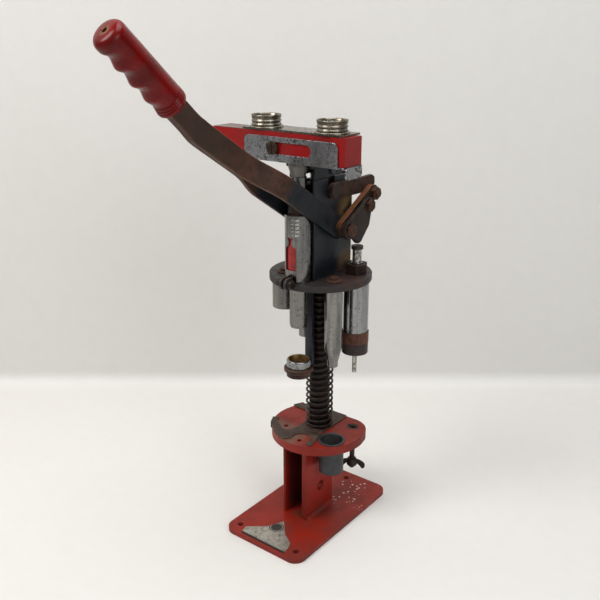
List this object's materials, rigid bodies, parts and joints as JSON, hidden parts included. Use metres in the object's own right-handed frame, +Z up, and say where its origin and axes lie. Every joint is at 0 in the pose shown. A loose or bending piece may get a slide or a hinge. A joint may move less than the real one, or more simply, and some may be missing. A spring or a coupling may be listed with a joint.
{
  "type": "single-stage shotshell reloading press",
  "caption": "Bench press with a forked hand lever and toggle link that slides a round die head down a spring-loaded column; a charge bar slides under two bottle collars on top.",
  "frame": {"origin": "on the column's axis at the underside of the base plate", "axes": "+Z up along the column, -Y towards the operator and the lever's grip, +X to the operator's right"},
  "size_m": [0.1582, 0.3228, 0.5129],
  "materials": {
    "red_paint": "worn gloss",
    "label_foil": "satin",
    "table_sheet": "dull, dirty",
    "gun_steel": "dull",
    "rusty_steel": "rusted",
    "column_steel": "oily",
    "spring_steel": "dull",
    "dark_sheet": "blued, rust-stained",
    "chrome": "pitted",
    "red_bar": "gloss",
    "brass": "satin",
    "bronze_screw": "dark",
    "bottle_steel": "dirty",
    "pot_metal": "satin",
    "plate_steel": "rusted",
    "collar_bronze": "worn",
    "red_plastic": "gloss",
    "wire": "satin",
    "link_steel": "rusted",
    "lever_steel": "rusted",
    "grip_plastic": "gloss"
  },
  "bodies": {
    "stand": {"base_plate": "red_paint", "pedestal": "red_paint", "station_table": "red_paint", "label_plate": "label_foil", "locating_plate": "table_sheet", "cup_tube": "gun_steel", "seat_bush": "rusty_steel", "column": "column_steel", "main_spring": "spring_steel", "top_bracket": "dark_sheet", "bracket_screws": "gun_steel", "charge_cradle": "chrome", "bottle_plate": "bottle_steel", "bottle_collars": "chrome", "plate_rivets": "bottle_steel", "funnel": "pot_metal", "drop_tube": "chrome", "link_pin": "link_steel"},
    "adjusting_nut": {"wing_nut": "rusty_steel"},
    "charge_slider": {"charge_bar": "red_bar", "charge_bushings": "brass", "bar_stop_screw": "bronze_screw"},
    "head": {"die_plate": "plate_steel", "guide_bush": "gun_steel", "head_channel": "dark_sheet", "sizing_die": "chrome", "sizing_collar": "collar_bronze", "sizing_nut": "rusty_steel", "starter_die": "chrome", "tapered_die": "chrome", "final_die": "chrome", "die_screws": "rusty_steel", "wad_tube": "chrome", "wad_tube_cap": "rusty_steel", "wad_spring": "wire", "clamp_bolt": "rusty_steel", "clamp_nut": "rusty_steel", "pivot_studs": "rusty_steel", "pivot_nuts": "rusty_steel"},
    "punch": {"decap_rod": "pot_metal"},
    "ram": {"wad_sleeve": "red_plastic", "wad_ram": "chrome"},
    "wad_guide": {"guide_hanger": "dark_sheet", "guide_collar": "collar_bronze", "guide_ring": "chrome"},
    "toggle_link": {"link_right": "link_steel", "link_left": "link_steel", "link_bushes": "link_steel"},
    "lever": {"lever_strap_right": "lever_steel", "lever_strap_left": "lever_steel", "lever_grip": "grip_plastic", "crank_right": "rusty_steel", "crank_left": "rusty_steel", "knockout_cam": "dark_sheet", "cam_spacers": "rusty_steel", "cam_bolt_set": "rusty_steel", "crank_pins": "rusty_steel"}
  },
  "joints": [
    {"name": "head_slide", "type": "slide", "parent": "stand", "child": "head", "axis": [0, 0, -1], "range_m": [0, 0.07], "deforming": ["main_spring"]},
    {"name": "lever_swing", "type": "hinge", "parent": "head", "child": "lever", "pos_m": [0, 0.006, 0.32], "axis": [1, 0, 0], "range_deg": [0, 44.88]},
    {"name": "link_swing", "type": "hinge", "parent": "stand", "child": "toggle_link", "pos_m": [0, -0.004, 0.3595], "axis": [1, 0, 0], "range_deg": [-55.23, 0]},
    {"name": "charge_bar_slide", "type": "slide", "parent": "stand", "child": "charge_slider", "axis": [1, 0, 0], "range_m": [0, 0.0382]},
    {"name": "wad_guide_lift", "type": "slide", "parent": "head", "child": "wad_guide", "axis": [0, 0, 1], "range_m": [0, 0.055]},
    {"name": "ram_lift", "type": "slide", "parent": "head", "child": "ram", "axis": [0, 0, 1], "range_m": [0, 0.004], "deforming": ["wad_spring"]},
    {"name": "punch_press", "type": "slide", "parent": "head", "child": "punch", "axis": [0, 0, -1], "range_m": [0, 0.004]},
    {"name": "wing_nut_turn", "type": "hinge", "parent": "stand", "child": "adjusting_nut", "pos_m": [0.03161, 0.01825, 0.0615], "axis": [0, 0, 1], "continuous": true}
  ],
  "couplings": [
    {"joint": "lever_swing", "follows": "head_slide", "rad_per_m": 11.187},
    {"joint": "link_swing", "follows": "head_slide", "rad_per_m": -13.768}
  ]
}
